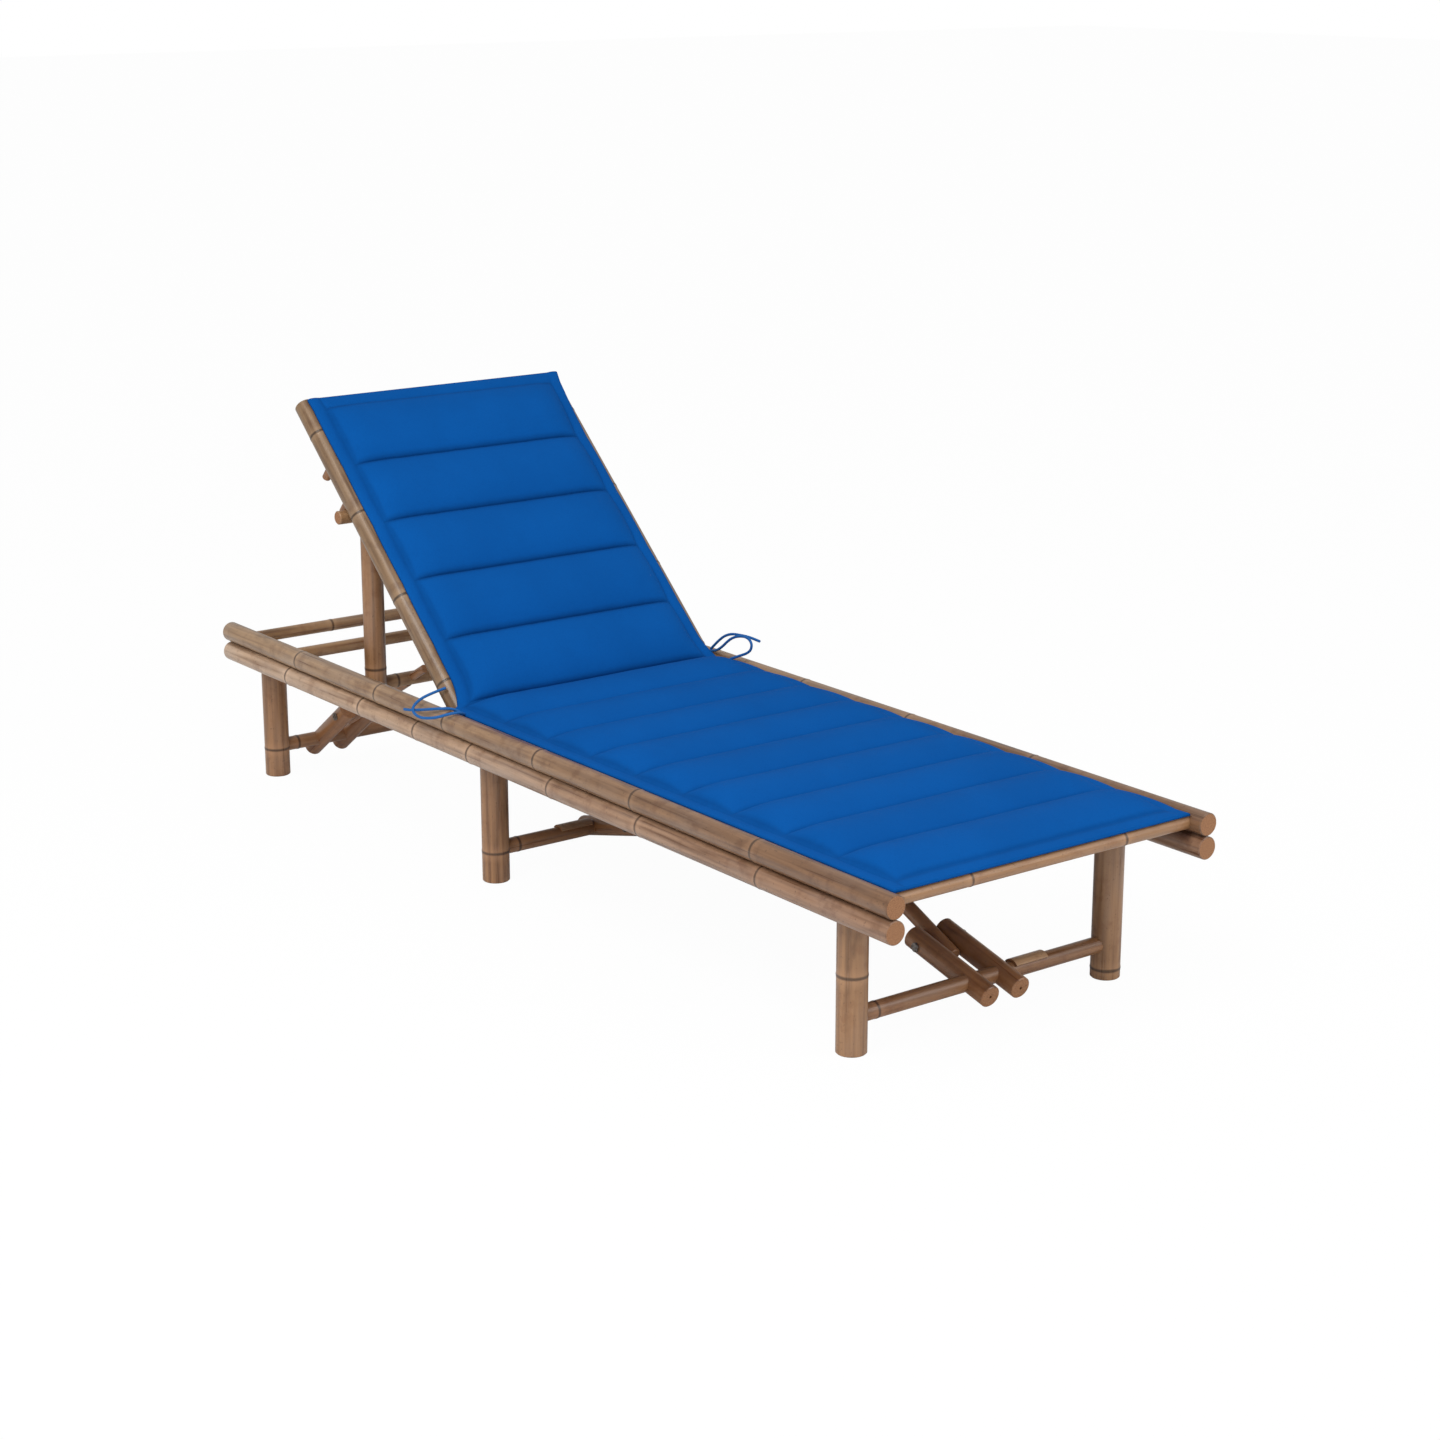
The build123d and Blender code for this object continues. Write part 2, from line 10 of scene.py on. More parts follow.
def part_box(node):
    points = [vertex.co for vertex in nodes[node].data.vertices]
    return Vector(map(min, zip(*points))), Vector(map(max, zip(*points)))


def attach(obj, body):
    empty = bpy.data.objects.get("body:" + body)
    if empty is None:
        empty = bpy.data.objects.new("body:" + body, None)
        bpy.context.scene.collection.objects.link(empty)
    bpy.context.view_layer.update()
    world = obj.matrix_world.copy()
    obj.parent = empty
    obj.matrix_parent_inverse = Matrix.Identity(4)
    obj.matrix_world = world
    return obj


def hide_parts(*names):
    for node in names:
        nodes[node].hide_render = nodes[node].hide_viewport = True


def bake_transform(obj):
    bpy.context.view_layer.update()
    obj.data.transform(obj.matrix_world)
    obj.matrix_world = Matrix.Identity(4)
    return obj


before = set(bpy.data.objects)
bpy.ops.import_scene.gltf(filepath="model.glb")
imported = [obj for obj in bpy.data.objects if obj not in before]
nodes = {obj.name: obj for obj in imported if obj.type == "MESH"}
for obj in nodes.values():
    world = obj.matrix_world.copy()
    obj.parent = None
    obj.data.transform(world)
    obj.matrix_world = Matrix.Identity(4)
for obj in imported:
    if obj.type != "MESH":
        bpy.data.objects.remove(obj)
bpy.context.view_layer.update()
scene = bpy.context.scene

# Camera at the photograph's angle
camera_place = (3.824, -2.746, 1.6157)
camera_dip = 15.884
camera_turn = 53.07
camera_data = bpy.data.cameras.new("camera")
camera_data.lens = 70.16
camera_data.sensor_width = 36.0
camera_data.clip_end = 100.0
camera = bpy.data.objects.new("camera", camera_data)
camera.location = camera_place
camera.rotation_euler = (math.radians(90 - camera_dip), 0, math.radians(camera_turn))
scene.collection.objects.link(camera)
scene.camera = camera
scene.view_settings.view_transform = "Standard"


class Shader:
    """A material's node tree with short calls for the nodes that this scene uses."""

    def __init__(self, name):
        self.material = bpy.data.materials.new(name)
        self.material.use_nodes = True
        self.tree = self.material.node_tree
        self.tree.nodes.clear()
        output = self.tree.nodes.new("ShaderNodeOutputMaterial")
        self.surface = self.tree.nodes.new("ShaderNodeBsdfPrincipled")
        self.tree.links.new(self.surface.outputs[0], output.inputs["Surface"])
        self.place = self.tree.nodes.new("ShaderNodeTexCoord").outputs["Object"]

    def feed(self, socket, value):
        """Link an output to a socket, or set the socket to a constant."""
        if isinstance(value, bpy.types.NodeSocket):
            self.tree.links.new(value, socket)
        else:
            socket.default_value = value

    def math(self, operation, a, b=0.0):
        """One calculation with one or two values."""
        node = self.tree.nodes.new("ShaderNodeMath")
        node.operation = operation
        self.feed(node.inputs[0], a)
        self.feed(node.inputs[1], b)
        return node.outputs[0]

    def vector(self, operation, a, b=None, scale=None):
        """One calculation with vectors. A dot product gives a value, the others a vector."""
        node = self.tree.nodes.new("ShaderNodeVectorMath")
        node.operation = operation
        self.feed(node.inputs[0], a)
        if b is not None:
            self.feed(node.inputs[1], b)
        if scale is not None:
            self.feed(node.inputs["Scale"], scale)
        return node.outputs["Value" if operation == "DOT_PRODUCT" else "Vector"]

    def spread(self, value, low, high, to_low=0.0, to_high=1.0):
        """Map a value from low..high to to_low..to_high with soft ends."""
        node = self.tree.nodes.new("ShaderNodeMapRange")
        node.interpolation_type = "SMOOTHSTEP"
        self.feed(node.inputs["Value"], value)
        node.inputs["From Min"].default_value = low
        node.inputs["From Max"].default_value = high
        node.inputs["To Min"].default_value = to_low
        node.inputs["To Max"].default_value = to_high
        return node.outputs["Result"]

    def noise(self, vector, scale, detail=3.0, roughness=0.55):
        """A noise pattern of about 0.3 to 0.7, at a scale per metre."""
        node = self.tree.nodes.new("ShaderNodeTexNoise")
        self.feed(node.inputs["Vector"], vector)
        node.inputs["Scale"].default_value = scale
        node.inputs["Detail"].default_value = detail
        node.inputs["Roughness"].default_value = roughness
        return node.outputs["Fac"]

    def mix(self, factor, a, b, blend="MIX"):
        """Mix two colours."""
        node = self.tree.nodes.new("ShaderNodeMix")
        node.data_type = "RGBA"
        node.blend_type = blend
        self.feed(node.inputs[0], factor)
        self.feed(node.inputs[6], (*a, 1.0) if isinstance(a, tuple) else a)
        self.feed(node.inputs[7], (*b, 1.0) if isinstance(b, tuple) else b)
        return node.outputs[2]

    def tint(self, colour, pattern, low, high, share, other):
        """Mix in a share of another colour where a pattern goes from low to high."""
        return self.mix(self.math("MULTIPLY", self.spread(pattern, low, high), share), colour, other)

    def bump(self, height, distance, strength):
        """Roughen the surface by a height pattern."""
        node = self.tree.nodes.new("ShaderNodeBump")
        node.inputs["Strength"].default_value = strength
        node.inputs["Distance"].default_value = distance
        self.feed(node.inputs["Height"], height)
        self.feed(self.surface.inputs["Normal"], node.outputs[0])

    def set(self, **sockets):
        """Feed the surface's own sockets, each by its name in lower case."""
        for name, value in sockets.items():
            title = name.replace("_", " ").title().replace("Ior", "IOR")
            self.feed(self.surface.inputs[title], value)


# Cane patterns: noise scales per metre, and the share of the length that a drawn-out pattern keeps
fibre_scale = 520.0
streak_scale = 130.0
blotch_scale = 26.0
speck_scale = 240.0
mottle_scale = 34.0
grain_scale = 700.0
fibre_stretch = 0.035
blotch_stretch = 0.25

# Node rings: a ragged dark scar in the middle of a pale collar
scar_inner = 0.0018
scar_outer = 0.0052
scar_wander = 0.0022
collar_inner = 0.003
collar_outer = 0.02
no_ring = 1.0

# Cut ends: straw with darker bundles
straw_light = (0.36, 0.17, 0.075)
straw_dark = (0.2, 0.085, 0.035)
cut_roughness = 0.8

# The stretch along a rail over which it grows darker towards its foot end
darkening_start = -1.3
darkening_end = 1.1


def bamboo(name, axis, rings, tone, seed, foot_darkening=None):
    """Weathered cane along an axis, with a dark scar at each node ring and straw-coloured cut ends.

    A foot darkening colour, multiplied in, makes the cane darker towards the end that the axis points to.
    """
    shader = Shader(name)
    axis = tuple(Vector(axis).normalized())
    along = shader.vector("DOT_PRODUCT", shader.place, axis)
    lengthwise = shader.vector("SCALE", axis, scale=along)
    crosswise = shader.vector("SUBTRACT", shader.place, lengthwise)
    offset = (seed * 1.7, seed * 0.9, seed * 2.3)
    shifted = shader.vector("ADD", crosswise, offset)
    fibre_place = shader.vector("ADD", shifted, shader.vector("SCALE", lengthwise, scale=fibre_stretch))
    blotch_place = shader.vector("ADD", shifted, shader.vector("SCALE", lengthwise, scale=blotch_stretch))
    spot_place = shader.vector("ADD", shader.place, offset)
    fibre = shader.noise(fibre_place, fibre_scale, 3.0, 0.6)
    streak = shader.noise(fibre_place, streak_scale, 3.0, 0.6)
    blotch = shader.noise(blotch_place, blotch_scale, 3.0, 0.6)
    speck = shader.noise(spot_place, speck_scale, 2.0, 0.5)
    mottle = shader.noise(spot_place, mottle_scale, 4.0, 0.6)

    # Distance to the nearest node ring
    distance = no_ring
    for ring in rings:
        reach = shader.math("ABSOLUTE", shader.math("SUBTRACT", along, ring))
        distance = shader.math("MINIMUM", distance, reach)
    ragged = shader.math("ADD", distance, shader.math("MULTIPLY", mottle, scar_wander))
    scar = shader.spread(ragged, scar_inner, scar_outer, 1.0, 0.0)
    collar = shader.spread(distance, collar_inner, collar_outer, 1.0, 0.0)

    # Colour of the skin, from the pattern that covers most to the scars on top
    dark, light, weather = tone
    grey = tuple(0.55 * value + 0.45 * sum(light) / 3 + 0.03 for value in light)
    rust = (dark[0] * 1.05, dark[1] * 0.86, dark[2] * 0.75)
    stain = tuple(value * 0.45 for value in dark)
    pale = tuple(min(1.0, value * 1.3 + 0.03) for value in light)
    burnt = tuple(value * 0.3 for value in dark)
    colour = shader.mix(shader.spread(streak, 0.22, 0.62), dark, light)
    colour = shader.tint(colour, blotch, 0.45, 0.72, weather, grey)
    colour = shader.tint(colour, mottle, 0.48, 0.7, 0.42, rust)
    colour = shader.tint(colour, blotch, 0.42, 0.24, 0.6, stain)
    colour = shader.tint(colour, fibre, 0.35, 0.7, 0.22, stain)
    colour = shader.tint(colour, speck, 0.64, 0.74, 0.5, stain)
    colour = shader.mix(shader.math("MULTIPLY", collar, 0.3), colour, pale)
    if foot_darkening:
        # Darker towards the end that the axis points to
        colour = shader.mix(shader.spread(along, darkening_start, darkening_end), colour, foot_darkening, "MULTIPLY")
    colour = shader.mix(shader.math("MULTIPLY", scar, 0.86), colour, burnt)

    # Cut ends face along the cane
    geometry = shader.tree.nodes.new("ShaderNodeNewGeometry")
    facing = shader.math("ABSOLUTE", shader.vector("DOT_PRODUCT", geometry.outputs["Normal"], axis))
    cut = shader.spread(facing, 0.86, 0.97)
    grain = shader.noise(shader.place, grain_scale, 2.0, 0.6)
    straw = shader.mix(shader.spread(grain, 0.4, 0.66), straw_light, straw_dark)
    colour = shader.mix(cut, colour, straw)

    skin_roughness = shader.spread(streak, 0.2, 0.85, 0.25, 0.42)
    end_roughness = shader.math("MULTIPLY", cut, cut_roughness)
    roughness = shader.math("MAXIMUM", skin_roughness, end_roughness)
    shader.set(base_color=colour, specular_ior_level=0.55, roughness=roughness)
    height = shader.math("ADD", shader.math("MULTIPLY", fibre, 0.3), shader.math("MULTIPLY", streak, 0.5))
    shader.bump(shader.math("SUBTRACT", height, scar), 0.0006, 0.7)
    return shader.material


def wear(node, material):
    """Give a CAD node one material."""
    mesh = nodes[node].data
    mesh.materials.clear()
    mesh.materials.append(material)


# Each tone: the dark and the light of the cane, and the share of grey weathering
# The upper rails' darker tone is painted shade and the lower rails' lighter tone painted light, one cane
# in two lights; the grey share is weathering
shaded_upper_rail_tone = ((0.145, 0.075, 0.037), (0.43, 0.275, 0.155), 0.4)
lit_lower_rail_tone = ((0.2, 0.105, 0.054), (0.6, 0.41, 0.27), 0.45)
# Multiplied into each rail towards its foot end, which makes the cane darker there
rail_foot_darkening = (0.52, 0.42, 0.37)
pole_tone = ((0.1, 0.05, 0.022), (0.268, 0.164, 0.086), 0.3)
# The front legs' lighter tone is painted light, and the foot crossbar shares it; the darker tone is
# painted shade on the middle and rear legs, and the prop uprights share it
lit_front_tone = ((0.19, 0.092, 0.04), (0.36, 0.19, 0.088), 0.2)
shaded_rear_tone = ((0.165, 0.076, 0.033), (0.355, 0.18, 0.082), 0.2)
brace_tone = ((0.175, 0.069, 0.024), (0.37, 0.168, 0.067), 0.15)
bar_tone = ((0.195, 0.096, 0.043), (0.39, 0.228, 0.115), 0.25)
stretcher_tone = ((0.155, 0.067, 0.026), (0.315, 0.152, 0.066), 0.12)
keeper_tone = ((0.25, 0.125, 0.055), (0.48, 0.28, 0.145), 0.15)

# Places along the frame that the canes' rings and the cushion are set out from
tilt = math.radians(42)
up_back = Vector((-math.cos(tilt), 0, math.sin(tilt)))
off_back = Vector((math.sin(tilt), 0, math.cos(tilt)))
hinge = Vector((-0.228, 0, 0.283))
hinge_along = hinge.dot(up_back)
head_x = -1.0

# Node rings of the canes, in the places that the CAD gives them. The number that goes up with the
# index is the seed that shifts each cane's pattern.
rail_rings = {
    "upper_rail_right": (0.288, 0.58, 0.812, 1.097, 1.374, 1.685),
    "upper_rail_left": (0.176, 0.44, 0.742, 1.01, 1.3, 1.61),
    "lower_rail_right": (0.248, 0.52, 0.712, 0.89, 1.137, 1.389, 1.698),
    "lower_rail_left": (0.13, 0.402, 0.69, 0.951, 1.228, 1.53, 1.812),
}
for index, (node, places) in enumerate(rail_rings.items()):
    rings = [head_x + place for place in places]
    # Upper rails take the painted-shade tone, lower rails the painted-light tone
    tone = shaded_upper_rail_tone if node.startswith("upper") else lit_lower_rail_tone
    wear(node, bamboo(f"cane_{node}", (1, 0, 0), rings, tone, 1 + index, rail_foot_darkening))

pole_tail = 0.016
pole_spacing = 0.19
pole_ring_count = 4
first_pole_ring = {"right": 0.078, "left": 0.06}
for index, (side, first) in enumerate(first_pole_ring.items()):
    rings = [hinge_along - pole_tail + first + pole_spacing * i for i in range(pole_ring_count)]
    wear(f"backrest_pole_{side}", bamboo(f"cane_pole_{side}", up_back, rings, pole_tone, 5 + index))

upright_foot = 0.218
upright_rings = {"right": 0.062, "left": 0.14}
for index, (side, ring) in enumerate(upright_rings.items()):
    cane = bamboo(f"cane_upright_{side}", (0, 0, 1), [upright_foot + ring], shaded_rear_tone, 7 + index)
    wear(f"prop_upright_{side}", cane)

leg_rings = {
    "front_leg_right": 0.124,
    "front_leg_left": 0.016,
    "middle_leg_right": 0.054,
    "middle_leg_left": 0.092,
    "rear_leg_right": 0.054,
    "rear_leg_left": 0.11,
}
for index, (node, ring) in enumerate(leg_rings.items()):
    # Front legs take the painted-light tone, the others the painted-shade tone
    tone = lit_front_tone if node.startswith("front") else shaded_rear_tone
    wear(node, bamboo(f"cane_{node}", (0, 0, 1), [ring], tone, 10 + index))

cross_rings = {
    "foot_crossbar": (-0.1495, 0.1608),
    "head_crossbar_outer": (-0.1347, 0.1017),
    "head_crossbar_inner": (-0.1347, 0.1017),
    "front_stretcher": (-0.2184,),
    "middle_stretcher": (-0.2184,),
    "rear_stretcher": (-0.2184,),
    "front_brace_bar": (-0.1619,),
    "middle_brace_bar": (-0.1619,),
    "rear_brace_bar": (-0.1619,),
    "prop_top_bar": (-0.0879,),
    "back_top_bar": (),
    "seat_slats": (),
    "back_slats": (),
    "backrest_hinge_rod": (),
    "leg_pivot_pins": (),
    "prop_pins": (),
    "front_keeper": (),
    "middle_keeper": (),
}
cross_tones = {
    "foot_crossbar": lit_front_tone,
    "front_stretcher": stretcher_tone,
    "middle_stretcher": stretcher_tone,
    "rear_stretcher": stretcher_tone,
    "front_keeper": keeper_tone,
    "middle_keeper": keeper_tone,
}
for index, (node, rings) in enumerate(cross_rings.items()):
    tone = cross_tones.get(node, bar_tone)
    wear(node, bamboo(f"cane_{node}", (0, 1, 0), rings, tone, 20 + index))
wear("rail_dowels", bamboo("cane_dowels", (0, 0, 1), (), bar_tone, 41))
wear("catch_pegs", bamboo("cane_pegs", off_back, (), brace_tone, 42))

# Braces: where each leg frame stands, the way it folds, and the slope of its brace arms in degrees
braces = {"front": (0.843, -1, 14), "middle": (-0.134, 1, 14), "rear": (-0.931, 1, 36)}
stretcher_height = 0.057
knee_reach = 0.112
for index, (leg_set, (leg_x, fold, degrees)) in enumerate(braces.items()):
    slope = math.radians(degrees)
    arm_axis = Vector((fold * math.cos(slope), 0, math.sin(slope)))
    for side in ("right", "left"):
        cane = bamboo(f"cane_{leg_set}_arm_{side}", arm_axis, (), brace_tone, 50 + 3 * index)
        wear(f"{leg_set}_brace_arm_{side}", cane)
    low, high = (Vector(corner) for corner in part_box(f"{leg_set}_brace_bar"))
    bar = (low + high) / 2
    knee = Vector((leg_x, 0, stretcher_height)) + arm_axis * knee_reach
    strut_axis = (knee - Vector((bar.x, 0, bar.z))).normalized()
    cane = bamboo(f"cane_{leg_set}_strut", strut_axis, (), brace_tone, 52 + 3 * index)
    wear(f"{leg_set}_brace_strut", cane)

# Knee bolts
rust_scale = 180.0
steel_colour = (0.22, 0.2, 0.18)
rust_colour = (0.1, 0.06, 0.035)
bolt = Shader("dull_steel")
rusted = bolt.spread(bolt.noise(bolt.place, rust_scale, 4.0), 0.45, 0.7)
bolt.set(base_color=bolt.mix(rusted, steel_colour, rust_colour), metallic=0.85)
bolt.set(roughness=bolt.spread(rusted, 0.0, 1.0, 0.38, 0.7))
for leg_set in braces:
    wear(f"{leg_set}_knee_bolt", bolt.material)

# Cushion: one padded piece that bends at the backrest hinge, with sewn channels and a flat border.
# Near and far are the sitter's right and left, as the camera sees them.
seat_foot = 0.976
seat_fold = -0.20468
seat_base = 0.2946
back_fold = 0.003
back_length = 0.698
back_lift = 0.0199
seat_half_width = 0.298
fold_half_width = 0.283
back_half_width = 0.268
back_taper = 0.06
draw_in = 0.0015
flange = 0.024
end_flange = 0.028
flange_thickness = 0.005
flange_swell = 0.0016
flange_sink = 0.0006
seam_thickness = 0.0085
crown_thickness = 0.03
shoulder = 0.06
flare_length = 0.16
near_flare = 0.002
far_flare = 0.013
wave_reach = 0.03
near_wave = 0.0005
far_wave = 0.0035
rim_reach = 0.004
rim_round = 0.0012
rim_droop = 0.0006
pucker_reach = 0.011
pucker_height = 0.0011
billow_height = 0.0016
ripple_height = 0.0005
seat_length = seat_foot - seat_fold
fold_start = Vector((seat_fold, 0, seat_base))
fold_end = hinge + up_back * back_fold + off_back * back_lift
fold_length = (fold_end - fold_start).length
back_start = seat_length + fold_length

# Channels: a small power makes a channel full, and slack at a seam makes its painted shade weak
seat_channels = 9
seat_power = 0.75
seat_slack = 0.005
back_channels = 5
back_power = 0.5
back_slack = 0.001
top_slack = 0.006
near_slack = 0.003
far_slack = 0.007
seam_width = 0.001
no_seam = 1.0
channel_steps = 22
border_steps = 6
fold_steps = 3


def channel_rows(start, length, channels, power, slack):
    """Rows over the padded channels of the seat or the back."""
    rows = []
    pitch = length / channels
    for channel in range(channels):
        for step in range(channel_steps):
            share = (1 - math.cos(math.pi * step / channel_steps)) / 2
            full = math.sin(math.pi * share) ** power
            gap = min(share, 1 - share) * pitch + slack
            rows.append((start + (channel + share) * pitch, full, gap, 1.0))
    return rows


def stations():
    """Rows along the cushion: distance from the foot edge, fullness, gap to the next seam, padding."""
    rows = []
    for step in range(border_steps):
        share = step / border_steps
        rows.append((end_flange * share, 0.0, end_flange * (1 - share), share))
    rows += channel_rows(end_flange, seat_length - end_flange, seat_channels, seat_power, seat_slack)
    for step in range(fold_steps):
        rows.append((seat_length + fold_length * step / fold_steps, 0.0, 0.0, 1.0))
    padded = back_length - end_flange
    rows += channel_rows(back_start, padded, back_channels, back_power, back_slack)
    for step in range(border_steps + 1):
        share = step / border_steps
        past = end_flange * share
        rows.append((back_start + padded + past, 0.0, top_slack + past, 1 - share))
    return rows


def spine(distance):
    """The cushion's underside and its up direction at a distance from the foot edge."""
    if distance <= seat_length:
        return Vector((seat_foot - distance, 0, seat_base)), Vector((0, 0, 1))
    if distance < back_start:
        share = (distance - seat_length) / fold_length
        up = Vector((0, 0, 1)).lerp(off_back, share).normalized()
        return fold_start.lerp(fold_end, share), up
    reach = back_fold + distance - back_start
    return hinge + up_back * reach + off_back * back_lift, off_back


def half_width(distance):
    """Half the cushion's width at a distance from the foot edge."""
    if distance <= seat_length:
        return seat_half_width
    share = (distance - seat_length) / fold_length
    if share < 1.0:
        return seat_half_width + (fold_half_width - seat_half_width) * share
    share = min(1.0, (distance - back_start) / back_taper)
    return fold_half_width + (back_half_width - fold_half_width) * share * (2 - share)


def corner_flare(distance, far):
    """How far a top corner of the back hangs out over its pole, most of all on the far side."""
    start = back_start + back_length - flare_length
    share = min(1.0, max(0.0, (distance - start) / flare_length))
    return (far_flare if far else near_flare) * share**2


def edge_wave(distance, full, inset, far):
    """How far the seat's border lifts between two seams."""
    if distance > seat_length:
        return 0.0
    return (far_wave if far else near_wave) * full * max(0.0, 1 - inset / wave_reach)


def rim(inset):
    """A share that rises from 0 to 1 over the outermost rim."""
    return max(0.0, 1 - inset / rim_reach) ** 2


def crinkle(distance, y, along, across, layer):
    """Noise over the cushion, with its scales per metre along and across the cushion."""
    return noise.noise((distance * along, y * across, layer))


def thickness(distance, y, inset, full, gap, padding):
    """The cushion's thickness: a flat border, then channels that rise with a round shoulder."""
    rise = min(1.0, max(0.0, (inset - flange) / shoulder))
    rise = math.sqrt(1 - (1 - rise) ** 2) * padding
    crown = seam_thickness + (crown_thickness - seam_thickness) * full
    top = flange_thickness + (crown - flange_thickness) * rise
    if inset < flange:
        top += flange_swell * math.sin(math.pi * inset / flange) - flange_sink
    elif padding < 1.0:
        top += flange_swell * math.sin(math.pi * padding) - flange_sink
    ripple = crinkle(distance, y, 9, 34, 3.1) + 0.6 * crinkle(distance, y, 16, 70, 7.7)
    billow = crinkle(distance, y, 7, 6, 11.3)
    pucker = pucker_height * ripple * math.exp(-gap / pucker_reach)
    loose_cloth = full * (billow_height * billow + ripple_height * ripple)
    return top + rise * (pucker + loose_cloth) - rim_round * rim(inset)


def seam_gap(inset, gap, padding, far):
    """Distance to the nearest seam, which sets the painted shade in the seam's valley."""
    side_gap = abs(inset - flange) + (far_slack if far else near_slack)
    if padding < 1.0 and inset > flange:
        side_gap = no_seam
    inside = inset > flange - seam_width
    return min(side_gap, gap if inside else no_seam)


# Columns across the cushion, closer together at its sides
columns = 78
crowding = 0.55
even = [2 * i / (columns - 1) - 1 for i in range(columns)]
across = [crowding * math.sin(math.pi / 2 * value) + (1 - crowding) * value for value in even]
tops = []
bottoms = []
seam_shade_gaps = []
for distance, full, gap, padding in stations():
    base, up = spine(distance)
    pad_half = half_width(distance) - draw_in * (1 - full) * padding
    for value in across:
        far = value > 0
        half = pad_half + corner_flare(distance, far)
        y = half * value
        inset = half - abs(y)
        place = base + Vector((0, y, 0))
        lift = edge_wave(distance, full, inset, far)
        tops.append(place + up * (lift + thickness(distance, y, inset, full, gap, padding)))
        bottoms.append(place + up * (lift - rim_droop * rim(inset)))
        # Each point's distance to the nearest seam, for the painted seam shade
        seam_shade_gaps.append(seam_gap(inset, gap, padding, far))

# Top and underside, closed along the two sides and the two ends
count = len(tops)
rows = count // columns
faces = []
for row in range(rows - 1):
    for column in range(columns - 1):
        a = row * columns + column
        b = a + 1
        c = a + columns
        d = c + 1
        faces.append((a, c, d, b))
        faces.append((count + a, count + b, count + d, count + c))
for row in range(rows - 1):
    for column in (0, columns - 1):
        a = row * columns + column
        c = a + columns
        quad = (a, count + a, count + c, c)
        faces.append(quad if column == 0 else quad[::-1])
for column in range(columns - 1):
    for row in (0, rows - 1):
        a = row * columns + column
        quad = (a, a + 1, count + a + 1, count + a)
        faces.append(quad if row == 0 else quad[::-1])
cushion_mesh = bpy.data.meshes.new("cushion")
cushion_mesh.from_pydata([tuple(p) for p in tops + bottoms], [], faces)
cushion_mesh.polygons.foreach_set("use_smooth", [True] * len(cushion_mesh.polygons))
# Distance to the nearest seam at each point, which the canvas reads for its painted seam shade
seam_shade_attribute = cushion_mesh.attributes.new("seam_gap", "FLOAT", "POINT")
seam_shade_attribute.data.foreach_set("value", np.array(seam_shade_gaps + [no_seam] * count, np.float32))
cushion_mesh.update()
cushion = bpy.data.objects.new("cushion", cushion_mesh)
scene.collection.objects.link(cushion)

# Canvas of the cushion: noise and weave scales per metre
weave_scale = 280.0
fade_scale = 7.0
slub_scale = 320.0
wander_scale = 60.0
wander_reach = 0.004
canvas_dark = (0.0016, 0.076, 0.305)
canvas_light = (0.0018, 0.083, 0.33)
canvas_slub = (0.0012, 0.06, 0.25)
# Colour of the painted shade in the seam valleys
canvas_seam_shade = (0.0012, 0.038, 0.16)


def weave_bands(shader, direction):
    """Fine bands of thread in one direction."""
    wave = shader.tree.nodes.new("ShaderNodeTexWave")
    wave.bands_direction = direction
    wave.inputs["Scale"].default_value = weave_scale
    shader.feed(wave.inputs["Vector"], shader.place)
    return wave.outputs["Fac"]


canvas = Shader("blue_canvas")
weave = canvas.math("MULTIPLY", weave_bands(canvas, "Y"), weave_bands(canvas, "X"))
fade = canvas.noise(canvas.place, fade_scale, 3.0)
slub = canvas.noise(canvas.place, slub_scale, 2.0)
blue = canvas.mix(canvas.spread(fade, 0.3, 0.7), canvas_dark, canvas_light)
blue = canvas.tint(blue, slub, 0.45, 0.75, 0.3, canvas_slub)
# Painted shade in the seam valleys, darkest at a seam and fading over about 15 mm
seam = canvas.tree.nodes.new("ShaderNodeAttribute")
seam.attribute_name = "seam_gap"
wander = canvas.math("MULTIPLY", canvas.noise(canvas.place, wander_scale, 2.0), wander_reach)
seam_valley_shade = canvas.spread(canvas.math("ADD", seam.outputs["Fac"], wander), 0.001, 0.015, 1.0, 0.0)
blue = canvas.mix(canvas.math("MULTIPLY", seam_valley_shade, 0.55), blue, canvas_seam_shade)
canvas.set(base_color=blue, roughness=0.95, specular_ior_level=0.06)
canvas.bump(canvas.math("ADD", weave, canvas.math("MULTIPLY", slub, 0.5)), 0.0003, 0.5)
cushion_mesh.materials.append(canvas.material)
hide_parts("seat_cushion", "back_cushion")
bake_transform(cushion)

